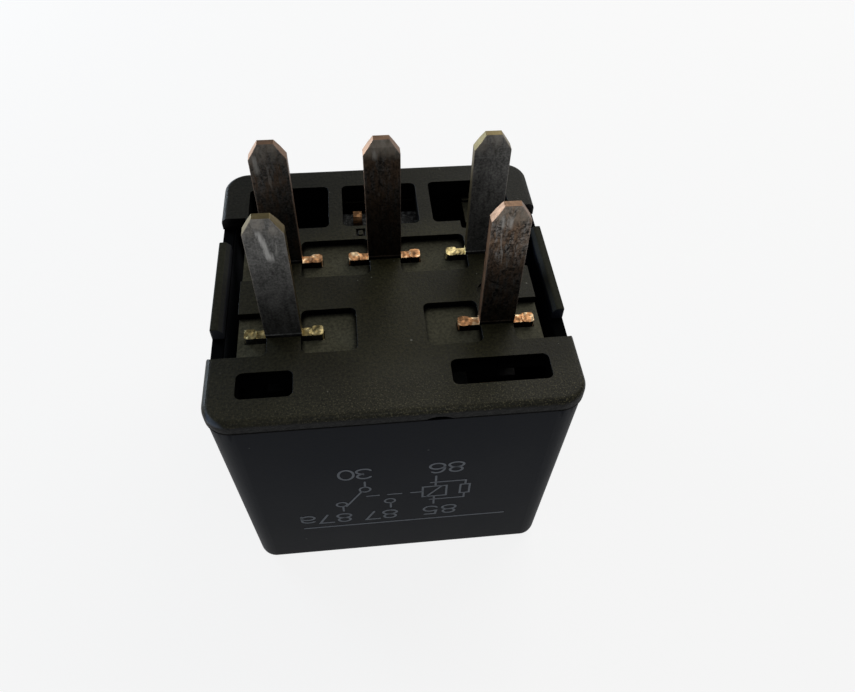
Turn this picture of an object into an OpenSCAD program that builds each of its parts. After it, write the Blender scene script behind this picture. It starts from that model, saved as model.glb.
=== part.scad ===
// Changeover relay with a plug-in base: five flat blades, snap-on cover and a
// hinged-armature coil mechanism. It stands on the closed end of its cover.
// Millimetres. Origin: centre of the cover's closed end; +Z towards the blades.

/* [Housing] */
// width of the base flange, along X
body_w = 28.4; // [27.6:0.1:30]
// depth of the base flange, along Y
body_d = 28.4; // [28:0.1:30]
// height from the closed end of the cover to the face of the base
case_h = 25; // [24:0.1:28]
// radius of the upright corners
corner_r = 2.2; // [1.9:0.1:3]
// thickness of the base flange above the cover's rim
flange_t = 1.2; // [0.9:0.1:1.4]
// wall of the cover
wall_t = 1.0; // [0.8:0.05:1.1]
// closed end of the cover
end_t = 1.2; // [0.8:0.1:1.6]
// draft of the cover's walls in degrees
draft_a = 1.5; // [0.5:0.1:1.8]
// edge radius round the closed end
end_edge_r = 1.0; // [0.4:0.1:1.2]
// edge radius round the face of the base
face_edge_r = 0.5; // [0.2:0.05:0.7]
// how far the cover's rim is set in from the flange
seam_step = 0.08; // [0.04:0.02:0.2]
// height of the finger notch that starts at the seam
pry_h = 0.45; // [0.3:0.05:0.6]
// chord of the finger notch
pry_w = 2.4; // [1.8:0.1:3]
// place of the finger notch along the front
pry_x = 2.95; // [0:0.05:6]

/* [Blades] */
// blade width
blade_w = 2.8; // [2.6:0.1:3]
// blade thickness
blade_t = 0.8; // [0.7:0.05:0.9]
// blade length above the base
blade_l = 11.8; // [9:0.1:14]
// length of the tapered tip
tip_l = 1.25; // [0.8:0.05:1.6]
// width left at the very tip
tip_w = 1.2; // [0.8:0.1:1.6]
// length over which the tip is coined thinner
coin_l = 0.6; // [0.3:0.1:1]
// how much the coining takes off each face at the very tip
coin_t = 0.12; // [0.05:0.01:0.2]
// distance from the middle blade to the outer blades
blade_x = 8.35; // [8.2:0.05:8.5]
// place of the row of three along Y
back_row_y = 2.1; // [1.9:0.1:2.3]
// distance between the two rows
row_pitch = 8.0; // [7.8:0.1:8.2]
// width across the two ears of a terminal
ear_w = 6.1; // [5.6:0.1:6.3]
// length of the swaged head on each ear
ear_head_l = 0.95; // [0.7:0.05:1.1]
// swell of the ear heads over the blade thickness
ear_swell = 0.22; // [0.06:0.02:0.3]
// corner radius of the ear heads
ear_head_r = 0.3; // [0.15:0.05:0.35]

/* [Base] */
// thickness of the base plate
plate_t = 1.6; // [1.4:0.1:1.9]
// depth of the pockets round the blades
pocket_z = 0.65; // [0.4:0.05:0.8]
// length of the pockets along Y
pocket_d = 4.35; // [4:0.05:4.6]
// width of the bridge that runs through each blade
bridge_w = 2.6; // [2.2:0.1:2.7]
// inner end of the pockets of the front row
front_pocket_x = 2.7; // [2:0.1:4]
// corner radius of pockets and windows
pocket_r = 0.5; // [0.3:0.05:0.7]
// depth of the side notches, from the flange to the plateau
notch_w = 2.2; // [2.1:0.05:2.4]
// length of the base's front corners, up to the side notches
corner_front = 6.25; // [6:0.05:7]
// length of the base's back corners, up to the side notches
corner_back = 6.45; // [6:0.05:7]
// gap between a side notch's front end and the cover's tongue
tongue_gap_front = 2.7; // [1.5:0.05:3.5]
// gap between a side notch's back end and the cover's tongue
tongue_gap_back = 2.95; // [1.5:0.05:3.5]
// bevel on the inside of the tongues
tongue_bevel = 0.42; // [0.2:0.02:0.5]
// front edge of the back windows
window_y0 = 6.0; // [5.8:0.1:6.4]
// land behind the back windows
window_rim = 2.6; // [2.5:0.05:3]
// land beside the windows
side_rim = 2.4; // [2.3:0.05:2.8]
// inner edge of the outer back windows
window_in_x = 4.65; // [4.4:0.05:5]
// half width of the middle window
window_mid_x = 3.42; // [3:0.02:3.7]
// land in front of the front windows
slot_rim = 2.23; // [2.2:0.01:2.6]
// width of the front windows along Y
slot_d = 2.37; // [1.8:0.01:2.5]
// inner edge of the left front window
slot_left_x = 7.6; // [7:0.1:8.4]
// inner edge of the right front window
slot_right_x = 4.2; // [3.8:0.1:5]
// thickness of the skirt inside the cover
skirt_t = 0.9; // [0.7:0.05:1]
// length of the skirt below the rim
skirt_h = 3.6; // [3:0.1:4]
// gap between the skirt and the cover
skirt_gap = 0.2; // [0.15:0.01:0.25]
// how far the latch lugs stand out
lug_out = 0.45; // [0.3:0.05:0.5]
// width of each latch lug
lug_w = 3.0; // [2:0.1:4]
// place of the latch lugs from the centre
lug_x = 6.0; // [5:0.1:8]
// diameter of the posts that bear on the yoke
post_d = 2.0; // [1.6:0.1:2.4]
// depth of the ejector mark beside the right front blade
ejector_dip = 0.2; // [0.05:0.05:0.3]
// width of the notch in the front edge of the right back window
notch_slot_w = 0.9; // [0.6:0.05:1]
// depth of the cavity mark in front of the locating tab
mark_dip = 0.25; // [0.1:0.05:0.4]

/* [Coil] */
// place of the coil axis along Y
coil_y = -1.2; // [-1.4:0.05:-1]
// space between the base plate and the yoke
head_room = 2.9; // [2.7:0.1:3.2]
// core diameter
core_d = 5.0; // [4.4:0.1:5.4]
// diameter of the pole face
pole_d = 7.6; // [6.6:0.1:8]
// thickness of the pole face
pole_t = 0.7; // [0.5:0.1:0.9]
// wall of the bobbin's barrel
barrel_t = 0.6; // [0.5:0.05:0.8]
// thickness of the bobbin's flanges
bobbin_t = 0.8; // [0.6:0.05:1]
// half width of the bobbin's flanges
bobbin_x = 6.45; // [6.2:0.05:6.6]
// diameter of the winding
winding_d = 12.6; // [11.6:0.1:12.7]
// room between the lowest arm and the cover's closed end
floor_gap = 1.88; // [1:0.01:2.4]
// room between the bobbin's shelf and the back of the base
shelf_room = 3.8; // [3.6:0.1:4.4]
// half width of the shelf
shelf_x = 4.3; // [4:0.1:4.4]
// drop of the shelf below the base plate
shelf_drop = 0.8; // [0.6:0.05:1]
// coil wire diameter
wire_d = 0.3; // [0.2:0.05:0.4]

/* [Yoke and armature] */
// sheet thickness of the yoke
yoke_t = 1.5; // [1.3:0.1:1.7]
// width of the yoke
yoke_w = 12.0; // [11:0.1:12.4]
// room between the yoke and the front of the base
yoke_room = 3.6; // [3.3:0.05:3.8]
// bend radius outside the yoke
yoke_bend_r = 1.8; // [1.6:0.1:2.2]
// sheet thickness of the armature
armature_t = 1.2; // [1:0.1:1.3]
// width of the armature
armature_w = 11.0; // [10:0.1:11.6]
// reach of the armature past the coil axis
armature_reach = 6.2; // [5.4:0.1:6.6]
// air gap left at the pole when pulled in
residual_gap = 0.05; // [0.03:0.01:0.1]
// angle by which the armature hangs open
release_a = 2.6; // [2.2:0.1:3]

/* [Contacts] */
// thickness of the hinge spring
spring_t = 0.2; // [0.15:0.01:0.25]
// width of the hinge spring
spring_w = 8.0; // [7:0.1:9]
// width of the spring at the contact
spring_tip_w = 3.2; // [2.8:0.1:3.6]
// room between the contacts' axis and the back of the base
contact_room = 5.0; // [4.8:0.05:5.2]
// contact head diameter
contact_d = 2.4; // [2:0.1:2.6]
// contact head height
contact_h = 0.6; // [0.5:0.05:0.7]
// gap left between closed contacts in the model
contact_gap = 0.04; // [0.03:0.01:0.08]
// width of the strips inside
strip_w = 2.8; // [2.6:0.1:3]
// gap between the spring's tip and the strip behind it
strip_gap = 0.5; // [0.4:0.05:0.6]

/* [Resistor] */
// diameter of the resistor body
resistor_d = 1.9; // [1.6:0.1:2.1]
// length of the resistor body
resistor_l = 5.6; // [4.5:0.1:7]
// lead wire diameter
lead_d = 0.5; // [0.4:0.05:0.6]

/* [Hidden] */
fit = 0.05;                               // clearance of parts pushed into slots
eps = 0.01;
rim_z = case_h - flange_t;                // the cover's rim, under the flange
cover_w = body_w - 2 * seam_step;
cover_d = body_d - 2 * seam_step;
plate_z = case_h - plate_t;               // underside of the base plate
skirt_w = cover_w - 2 * wall_t - 2 * skirt_gap;
skirt_d = cover_d - 2 * wall_t - 2 * skirt_gap;
skirt_r = corner_r - wall_t;
lug_z = rim_z - skirt_h / 2;
lug_h = 1.2;
front_row_y = back_row_y - row_pitch;
plateau_x = body_w / 2 - notch_w;         // edge of the plateau
notch_y0 = corner_front - body_d / 2;     // ends of the side notches
notch_y1 = body_d / 2 - corner_back;
tongue_y0 = notch_y0 + tongue_gap_front;
tongue_y1 = notch_y1 - tongue_gap_back;
window_x = body_w / 2 - side_rim;
window_y1 = body_d / 2 - window_rim;
slot_y0 = slot_rim - body_d / 2;
slot_y1 = slot_y0 + slot_d;
hinge_y = yoke_room - body_d / 2;         // outer edge of the yoke's end
contact_y = body_d / 2 - contact_room;
shelf_y = body_d / 2 - shelf_room;
face_r = contact_d / 3;                   // flat of a contact's face
// drop from the hinge to the lower face of the moving contact when pulled in
contact_drop = residual_gap + armature_t + spring_t + contact_h;
hinge_z = end_t + floor_gap + blade_t + contact_h + contact_gap
          + contact_drop * cos(release_a)
          + (contact_y + face_r - hinge_y) * sin(release_a);
pole_z = hinge_z;                         // face of the pole
yoke_top = plate_z - head_room;
flange_top = yoke_top - yoke_t;           // upper face of the bobbin
wind_top = flange_top - bobbin_t;
wind_bot = pole_z + pole_t + bobbin_t / 2;
winding_h = wind_top - wind_bot;
arm_top = pole_z - residual_gap;          // armature when pulled in
arm_bot = arm_top - armature_t;
arm_end = coil_y + armature_reach;
spring_bot = arm_bot - spring_t;
spring_tip = contact_y + contact_d / 2 + 0.2;
no_face = arm_bot + contact_h + contact_gap;
no_arm = no_face + contact_h;             // underside of the arm of 87
nc_y = hinge_y + (contact_y - hinge_y) * cos(release_a)
       - contact_drop * sin(release_a);
nc_arm = end_t + floor_gap + blade_t;     // upper face of the arm of 87a
drop_y = spring_tip + strip_gap;          // front face of the strip of 87a
shelf_z = plate_z - shelf_drop;           // upper face of the shelf
run_top = shelf_z - bobbin_t - 0.1;       // upper face of the run of 87a
shoulder_z = plate_z - 0.6;               // lower end of the wide part
tail_z = wind_top - 1.8;                  // lower end of the coil tails
tail_w = 1.0;
resistor_y = front_row_y - blade_t / 2 - lead_d / 2;
resistor_z = yoke_top + resistor_d / 2 + 0.65;
spring_foot = 1.6;                        // spring past its upper rivet
spring_neck = [1, 1.6];                   // its taper, before and past the armature
rivet_z = [hinge_z + 3.2, hinge_z + 6.2];
rivet_y = [coil_y - 4.4, coil_y + 3.4];
rivet_head_d = 1.9;
rivet_head_t = 0.4;
tab_y = [window_y0 + 1.9, window_y0 + 3.4]; // locating tab on 87a
tab_x = [-2.5, -2.5 + blade_t];
tab_h = 2.4;                              // tab above the strip
mark_y = [window_y0 - 1.35, window_y0 - 0.4]; // cavity mark in front of it
mark_rim = 0.2;
slot_notch = [blade_x - 1.3, window_y0 - 1];  // left front corner of the notch
guide_x = blade_x - 0.25;                 // guide block behind terminal 87
guide_y = window_y0 + 2.6;
ledge_z = shelf_z + 0.15;                 // rib on the skirt behind the shelf
ledge_t = 0.4;
ledge_out = 0.15;
spring_slot = [3, 4.2, 5.0];              // opening in the spring's loop
ejector_at = [8.2, -2.7];
heel_y = hinge_y + 0.25;                  // hinge end of the armature
heel_bevel = 0.8;
loop_r = 1.3 + spring_t / 2;             // middle of the spring's loop
pry_r = (pry_w * pry_w / 4 + pry_h * pry_h) / (2 * pry_h);

plastic_base = [0.27, 0.27, 0.23];
plastic_cover = [0.24, 0.25, 0.29];
plastic_bobbin = [0.55, 0.55, 0.5];
tin = [0.5, 0.46, 0.42];
copper = [0.72, 0.42, 0.28];
steel = [0.62, 0.62, 0.62];
silver = [0.82, 0.82, 0.8];
body_tan = [0.75, 0.66, 0.48];

// ---------------------------------------------------------------- helpers

// rectangle with rounded corners between two corners
module round_rect(x0, x1, y0, y1, r) {
    translate([x0 + r, y0]) square([x1 - x0 - 2 * r, y1 - y0]);
    translate([x0, y0 + r]) square([x1 - x0, y1 - y0 - 2 * r]);
    for (x = [x0 + r, x1 - r], y = [y0 + r, y1 - r])
        translate([x, y]) circle(r = r, $fn = 32);
}

module centred_rect(w, d, r) { round_rect(-w / 2, w / 2, -d / 2, d / 2, r); }

// half of an upright section: flat end, edge radius and drafted wall
function wall_section(half, h, a, er) =
    let (foot = half - h * tan(a), cx = foot + er * tan(a) - er / cos(a))
    concat([[0, 0], [cx, 0]],
           [for (i = [1:6]) let (t = -90 + (90 - a) * i / 6)
               [cx + er * cos(t), er + er * sin(t)]],
           [[half, h], [0, h]]);

// block with drafted walls, rounded corners and a rounded lower edge;
// w and d are its size at the top
module drafted_block(w, d, h, r, a, er) {
    for (s = [0, 1]) {
        long = s == 0 ? d - 2 * r : w - 2 * r;
        half = s == 0 ? w / 2 : d / 2;
        rotate([0, 0, 90 * s]) translate([0, long / 2, 0]) rotate([90, 0, 0])
            linear_extrude(long) {
                polygon(wall_section(half, h, a, er));
                mirror([1, 0]) polygon(wall_section(half, h, a, er));
            }
    }
    for (x = [-1, 1], y = [-1, 1])
        translate([x * (w / 2 - r), y * (d / 2 - r), 0])
            rotate_extrude($fn = 48) polygon(wall_section(r, h, a, er));
}

// hangs the armature's pieces open by the release angle
module released() {
    translate([0, hinge_y, hinge_z]) rotate([-release_a, 0, 0])
        translate([0, -hinge_y, -hinge_z]) children();
}

// places of the five terminals
terminal_places = [[-blade_x, back_row_y], [0, back_row_y], [blade_x, back_row_y],
                   [-blade_x, front_row_y], [blade_x, front_row_y]];

module box(x0, x1, y0, y1, z0, z1) {
    translate([x0, y0, z0]) cube([x1 - x0, y1 - y0, z1 - z0]);
}

// round wire through a list of points
module wire(points, d) {
    for (i = [0:len(points) - 2]) {
        a = points[i];
        v = points[i + 1] - a;
        translate(a) rotate([0, acos(v[2] / norm(v)), atan2(v[1], v[0])])
            cylinder(d = d, h = norm(v), $fn = 16);
    }
}

// ---------------------------------------------------------------- housing

module cover() color(plastic_cover) {
    tongue_x = cover_w / 2;
    difference() {
        union() {
            drafted_block(cover_w, cover_d, rim_z, corner_r, draft_a, end_edge_r);
            for (s = [-1, 1]) translate([0, tongue_y1, 0]) rotate([90, 0, 0])
                linear_extrude(tongue_y1 - tongue_y0)
                    polygon([[s * (tongue_x - wall_t), rim_z],
                             [s * tongue_x, rim_z], [s * tongue_x, case_h],
                             [s * (tongue_x - wall_t + tongue_bevel), case_h],
                             [s * (tongue_x - wall_t), case_h - tongue_bevel]]);
        }
        translate([0, 0, end_t])
            drafted_block(cover_w - 2 * wall_t + 2 * tan(draft_a),
                          cover_d - 2 * wall_t + 2 * tan(draft_a),
                          rim_z - end_t + 1, corner_r - wall_t + tan(draft_a),
                          draft_a, end_edge_r * 0.5);
        // recesses that the base's lugs snap into
        for (s = [0, 180], x = [-lug_x, lug_x]) rotate([0, 0, s])
            box(x - lug_w / 2 - 0.15, x + lug_w / 2 + 0.15,
                skirt_d / 2 - 0.5, skirt_d / 2 + lug_out + 0.12,
                lug_z - lug_h / 2 - 0.15, lug_z + lug_h / 2 + 0.1);
    }
}

module base() color(plastic_base) {
    difference() {
        union() {
            translate([0, 0, case_h]) mirror([0, 0, 1])
                drafted_block(body_w, body_d, flange_t, corner_r, 0, face_edge_r);
            translate([0, 0, plate_z]) linear_extrude(plate_t - flange_t)
                centred_rect(skirt_w, skirt_d, skirt_r);
            // skirt inside the cover
            translate([0, 0, rim_z - skirt_h]) linear_extrude(skirt_h)
                difference() {
                    centred_rect(skirt_w, skirt_d, skirt_r);
                    centred_rect(skirt_w - 2 * skirt_t, skirt_d - 2 * skirt_t,
                                 skirt_r * 0.6);
                }
            // latch lugs: square above, sloping below
            for (s = [0, 180], x = [-lug_x, lug_x]) rotate([0, 0, s])
                translate([x + lug_w / 2, skirt_d / 2, lug_z]) rotate([0, -90, 0])
                    linear_extrude(lug_w)
                        polygon([[lug_h / 2, -0.2], [lug_h / 2, lug_out],
                                 [lug_h / 2 - 0.3, lug_out],
                                 [-lug_h / 2, 0], [-lug_h / 2, -0.2]]);
            // posts that bear on the yoke
            for (x = [-1, 1])
                translate([x * (yoke_w / 2 - post_d), coil_y + 1.6, yoke_top])
                    cylinder(d = post_d, h = plate_z - yoke_top + eps, $fn = 32);
            // guide block in the corner and rib on the skirt, behind the windows
            box(guide_x, (skirt_w - skirt_t) / 2, guide_y, (skirt_d - skirt_t) / 2,
                rim_z - skirt_h, shelf_z);
            box(-window_mid_x, window_mid_x, skirt_d / 2 - skirt_t - ledge_out,
                (skirt_d - skirt_t) / 2, ledge_z - ledge_t, ledge_z);
        }
        // side notches
        for (s = [-1, 1])
            translate([0, 0, rim_z - skirt_h - 1]) linear_extrude(skirt_h + flange_t + 2)
                polygon([[s * plateau_x, notch_y0], [s * body_w, notch_y0],
                         [s * body_w, notch_y1], [s * plateau_x, notch_y1]]);
        // windows
        translate([0, 0, plate_z - 1]) linear_extrude(plate_t + 2) {
            round_rect(-window_x, -window_in_x, window_y0, window_y1, pocket_r);
            round_rect(-window_mid_x, window_mid_x, window_y0, window_y1, pocket_r);
            round_rect(window_in_x, window_x, window_y0, window_y1, pocket_r);
            round_rect(-window_x, -slot_left_x, slot_y0, slot_y1, pocket_r);
            round_rect(slot_right_x, window_x, slot_y0, slot_y1, pocket_r);
            round_rect(slot_notch[0], slot_notch[0] + notch_slot_w,
                       slot_notch[1], window_y0 + pocket_r, notch_slot_w / 3);
        }
        // cavity mark: a sunk frame round a small pad
        translate([0, 0, case_h - mark_dip]) linear_extrude(1) difference() {
            translate([tab_x[0] + 0.2, mark_y[0]]) square([blade_t, mark_y[1] - mark_y[0]]);
            translate([tab_x[0] + 0.2 + mark_rim, mark_y[0] + mark_rim])
                square([blade_t - 2 * mark_rim, mark_y[1] - mark_y[0] - 2 * mark_rim]);
        }
        // pockets beside the blades
        translate([0, 0, case_h - pocket_z]) linear_extrude(pocket_z + 1) {
            b = bridge_w / 2;
            for (s = [0, 1]) mirror([s, 0]) {
                translate([0, back_row_y])
                    round_rect(b, blade_x - b, -pocket_d / 2, pocket_d / 2, pocket_r);
                for (y = [back_row_y, front_row_y]) translate([0, y])
                    round_rect(blade_x + b, body_w / 2, -pocket_d / 2, pocket_d / 2, pocket_r);
                translate([0, front_row_y])
                    round_rect(front_pocket_x, blade_x - b, -pocket_d / 2, pocket_d / 2, pocket_r);
            }
        }
        // slots that hold the terminals
        for (p = terminal_places)
            translate([p[0], p[1], plate_z - 1]) linear_extrude(plate_t + 2)
                square([ear_w + 2 * fit, blade_t + 2 * fit], center = true);
        // finger notch at the seam
        intersection() {
            box(pry_x - pry_w, pry_x + pry_w, -body_d / 2 - 1, -body_d / 2 + 0.9, rim_z - eps, case_h);
            translate([pry_x, 0, rim_z + pry_h - pry_r]) rotate([90, 0, 0])
                cylinder(r = pry_r, h = body_d, $fn = 64);
        }
        // ejector mark
        translate([ejector_at[0], ejector_at[1], case_h - ejector_dip])
            cylinder(r = 0.9, h = 1, $fn = 32);
    }
}

// ---------------------------------------------------------------- terminals

// outline of a blade with its tapered tip, foot at z = 0
module blade_outline(h) {
    w = blade_w / 2;
    polygon([[-w, 0], [w, 0], [w, h - tip_l], [tip_w / 2, h], [-tip_w / 2, h],
             [-w, h - tip_l]]);
}

// blade, ears and the part that goes through the plate
module terminal_top() color(tin) {
    top = case_h + blade_l;
    y = blade_t / 2;
    intersection() {
        translate([0, y, shoulder_z]) rotate([90, 0, 0]) linear_extrude(blade_t) {
            blade_outline(top - shoulder_z);
            translate([-ear_w / 2, 0]) square([ear_w, case_h - pocket_z - shoulder_z]);
            translate([ear_head_r - ear_w / 2, 0])
                square([ear_w - 2 * ear_head_r, case_h - fit - shoulder_z]);
        }
        // side view, coined thinner at the tip
        translate([-ear_w, 0, 0]) rotate([90, 0, 90]) linear_extrude(2 * ear_w)
            polygon([[-y, shoulder_z], [y, shoulder_z], [y, top - coin_l],
                     [y - coin_t, top], [coin_t - y, top], [-y, top - coin_l]]);
    }
    // swaged heads of the ears
    for (s = [-1, 1])
        translate([s * (ear_w - ear_head_l) / 2, 0, case_h - pocket_z + fit])
            linear_extrude(pocket_z)
                centred_rect(ear_head_l, blade_t + ear_swell, ear_head_r);
}

// flat strip in the XY plane with its upper face at z
module flat_strip(points, z) {
    translate([0, 0, z - blade_t]) linear_extrude(blade_t) polygon(points);
}

module terminal_30() color(tin) {
    w = strip_w / 2;
    x = -blade_x;
    y = back_row_y;
    tab_end = -core_d / 2 - 0.9;
    translate([x, y, 0]) terminal_top();
    box(x - w, x + w, y - blade_t / 2, y + blade_t / 2, yoke_top, shoulder_z + eps);
    flat_strip([[x - w, y + blade_t / 2], [x - w, coil_y - 1.6], [x - w + 0.6, coil_y - 2.2],
                [tab_end, coil_y - 2.2], [tab_end, coil_y + 0.2], [x + w, coil_y + 0.2],
                [x + w, y + blade_t / 2]], yoke_top + blade_t);
}

module terminal_coil(s) color(tin) {
    w = strip_w / 2;
    x = s * blade_x;
    y = front_row_y;
    translate([x, y, 0]) terminal_top();
    box(x - w, x + w, y - blade_t / 2, y + blade_t / 2, flange_top, shoulder_z + eps);
    translate([x, y + blade_t / 2, tail_z]) rotate([90, 0, 0]) linear_extrude(blade_t)
        polygon([[-tail_w / 2 + 0.15, 0], [tail_w / 2 - 0.15, 0], [tail_w / 2, 0.4],
                 [tail_w / 2, flange_top - tail_z + eps], [-tail_w / 2, flange_top - tail_z + eps],
                 [-tail_w / 2, 0.4]]);
}

module terminal_85() terminal_coil(1);
module terminal_86() terminal_coil(-1);

module terminal_87() color(tin) {
    w = strip_w / 2;
    x = blade_x;
    y = back_row_y;
    translate([x, y, 0]) terminal_top();
    box(x - w, x + w, y - blade_t / 2, y + blade_t / 2, no_arm, shoulder_z + eps);
    flat_strip([[x - w, y - blade_t / 2], [x + w, y - blade_t / 2],
                [x + w, contact_y + 0.8], [x + w - 0.6, contact_y + w],
                [-w + 0.4, contact_y + w], [-w, contact_y + w - 0.4],
                [-w, contact_y - w + 0.4], [-w + 0.4, contact_y - w],
                [x - w, contact_y - w]], no_arm + blade_t);
}

module terminal_87a() color(tin) {
    w = strip_w / 2;
    y = back_row_y;
    translate([0, y, 0]) terminal_top();
    box(-w, w, y - blade_t / 2, y + blade_t / 2, run_top - blade_t, shoulder_z + eps);
    flat_strip([[-w, y - blade_t / 2], [w, y - blade_t / 2], [w, drop_y + blade_t],
                [-w, drop_y + blade_t], [-w, tab_y[1]], [tab_x[0], tab_y[1]],
                [tab_x[0], tab_y[0]], [-w, tab_y[0]]], run_top);
    // locating tab, bent up through the shelf
    translate([tab_x[1], tab_y[0], run_top - blade_t]) rotate([0, -90, 0])
        linear_extrude(tab_x[1] - tab_x[0])
            polygon([[0, 0], [blade_t + tab_h - 0.45, 0], [blade_t + tab_h, 0.3],
                     [blade_t + tab_h, tab_y[1] - tab_y[0] - 0.4],
                     [blade_t + tab_h - 0.6, tab_y[1] - tab_y[0]], [0, tab_y[1] - tab_y[0]]]);
    box(-w, w, drop_y, drop_y + blade_t, nc_arm - blade_t, run_top - eps);
    flat_strip([[-w, drop_y + blade_t], [w, drop_y + blade_t], [w, nc_y - w + 0.4],
                [w - 0.4, nc_y - w], [-w + 0.4, nc_y - w], [-w, nc_y - w + 0.4]], nc_arm);
}

// ---------------------------------------------------------------- coil

module bobbin() color(plastic_bobbin) {
    lug_end = blade_x + strip_w / 2 + 0.7;
    wall_y = window_y0 - 0.9;
    difference() {
        union() {
            // flanges and barrel
            translate([0, 0, wind_bot - bobbin_t]) linear_extrude(bobbin_t)
                round_rect(-bobbin_x, bobbin_x, coil_y - bobbin_x, coil_y + bobbin_x, 1.2);
            translate([0, 0, wind_top]) linear_extrude(bobbin_t)
                round_rect(-bobbin_x, bobbin_x, coil_y - bobbin_x, coil_y + bobbin_x + 0.5, 1.2);
            translate([0, coil_y, wind_bot - eps])
                cylinder(d = core_d + 2 * fit + 2 * barrel_t, h = winding_h + 2 * eps, $fn = 64);
            // lugs that grip the coil terminals
            for (s = [-1, 1])
                box(s > 0 ? bobbin_x - 1 : -lug_end, s > 0 ? lug_end : 1 - bobbin_x,
                    front_row_y - blade_t / 2 - 0.8, front_row_y + blade_t / 2 + 0.8,
                    wind_top, flange_top);
            // wall and shelf behind the coil
            box(-shelf_x, shelf_x, wall_y, wall_y + bobbin_t, wind_top + eps, shelf_z);
            box(-shelf_x, shelf_x, wall_y, shelf_y, shelf_z - bobbin_t, shelf_z);
            for (x = [-shelf_x, shelf_x - bobbin_t])
                translate([x + bobbin_t, 0, 0]) rotate([0, -90, 0]) linear_extrude(bobbin_t)
                    polygon([[wind_top + bobbin_t, wall_y], [shelf_z - bobbin_t / 2, wall_y],
                             [shelf_z - bobbin_t / 2, shelf_y - 0.6],
                             [shelf_z - bobbin_t - 0.6, shelf_y - 0.6],
                             [wind_top + bobbin_t, wall_y + bobbin_t]]);
        }
        // core and pole face
        translate([0, coil_y, wind_bot - 2 * bobbin_t])
            cylinder(d = core_d + 2 * fit, h = winding_h + 4 * bobbin_t, $fn = 64);
        translate([0, coil_y, wind_bot - bobbin_t - 1])
            cylinder(d = pole_d + 2 * fit, h = 1 + bobbin_t / 2, $fn = 64);
        // slots for the coil terminals
        for (s = [-1, 1])
            translate([s * blade_x, front_row_y, wind_top + bobbin_t / 2])
                cube([tail_w + 2 * fit, blade_t + 2 * fit, 3 * bobbin_t], center = true);
        // way through for the strip of the middle terminal
        box(-strip_w / 2 - 0.15, strip_w / 2 + 0.15, wall_y - 1, wall_y + bobbin_t + 1,
            run_top - blade_t - 0.15, shelf_z - bobbin_t);
        // slot for its locating tab
        box(tab_x[0] - fit, tab_x[1] + fit, tab_y[0] - fit, tab_y[1] + fit,
            shelf_z - 2 * bobbin_t, shelf_z + 1);
    }
}

module winding() color(copper) {
    translate([0, coil_y, wind_bot]) difference() {
        union() {
            cylinder(d = winding_d - 0.3, h = winding_h, $fn = 64);
            translate([0, 0, 0.15]) cylinder(d = winding_d, h = winding_h - 0.3, $fn = 64);
        }
        translate([0, 0, -1])
            cylinder(d = core_d + 2 * fit + 2 * barrel_t, h = winding_h + 2, $fn = 64);
    }
}

module core() color(steel) {
    translate([0, coil_y, pole_z]) {
        cylinder(d = pole_d, h = pole_t, $fn = 64);
        cylinder(d = core_d, h = flange_top - pole_z, $fn = 64);
        // staked neck through the yoke
        translate([0, 0, flange_top - pole_z - eps])
            cylinder(d = core_d - 1.2, h = yoke_t + eps, $fn = 64);
    }
}

// L-shaped sheet: short leg over the coil, long leg down to the hinge
module yoke() color(steel) {
    y0 = hinge_y;
    y1 = coil_y + core_d / 2 + 0.7;
    difference() {
        translate([yoke_w / 2, 0, 0]) rotate([0, -90, 0]) linear_extrude(yoke_w)
            difference() {
                union() {
                    translate([hinge_z, y0]) square([yoke_top - yoke_bend_r - hinge_z, yoke_t]);
                    translate([flange_top, y0 + yoke_bend_r]) square([yoke_t, y1 - y0 - yoke_bend_r]);
                    intersection() {
                        translate([yoke_top - yoke_bend_r, y0 + yoke_bend_r])
                            circle(r = yoke_bend_r, $fn = 48);
                        translate([yoke_top - yoke_bend_r, y0]) square(yoke_bend_r);
                    }
                }
                translate([yoke_top - yoke_bend_r, y0 + yoke_bend_r])
                    circle(r = yoke_bend_r - yoke_t, $fn = 48);
            }
        translate([0, coil_y, flange_top - 1])
            cylinder(d = core_d - 1.2 + 2 * fit, h = yoke_t + 2, $fn = 64);
        for (z = rivet_z) translate([0, y0 - 1, z]) rotate([-90, 0, 0])
            cylinder(d = rivet_head_d * 0.6, h = yoke_t + 2, $fn = 32);
        // trimmed corners of the short leg
        for (s = [-1, 1])
            translate([s * yoke_w / 2, y1, flange_top - 1]) rotate([0, 0, 45])
                cube([2, 2, 2 * yoke_t + 4], center = true);
    }
}

module armature() color(steel) released() {
    w = armature_w / 2;
    difference() {
        translate([0, 0, arm_bot]) linear_extrude(armature_t)
            polygon([[-w + 0.8, heel_y], [w - 0.8, heel_y], [w - 0.8, heel_y + 1.2],
                     [w, heel_y + 2], [w, arm_end - 2.4], [w - 2.4, arm_end],
                     [-w + 2.4, arm_end], [-w, arm_end - 2.4], [-w, heel_y + 2],
                     [-w + 0.8, heel_y + 1.2]]);
        // bevel that clears the spring's loop
        translate([0, heel_y, arm_bot]) rotate([45, 0, 0])
            cube([body_w, heel_bevel * sqrt(2), heel_bevel * sqrt(2)], center = true);
        for (y = rivet_y) translate([0, y, arm_bot - 1])
            cylinder(d = rivet_head_d * 0.6, h = armature_t + 2, $fn = 32);
    }
}

// section of the spring: down the yoke, round the loop, out to the contact
function spring_line(off) =
    let (cy = hinge_y - spring_t / 2 + loop_r,
         cz = hinge_z - tan(release_a) * (cy - hinge_y)
              + (loop_r - hinge_z + spring_bot + spring_t / 2) / cos(release_a),
         r = loop_r + off, n = 10)
    concat([[rivet_z[1] + spring_foot, cy - r]],
           [for (i = [0:n]) let (t = 180 + (90 - release_a) * i / n)
               [cz + r * sin(t), cy + r * cos(t)]],
           [[cz - r * cos(release_a) - (spring_tip - cy) * sin(release_a),
             cy - r * sin(release_a) + (spring_tip - cy) * cos(release_a)]]);

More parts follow.
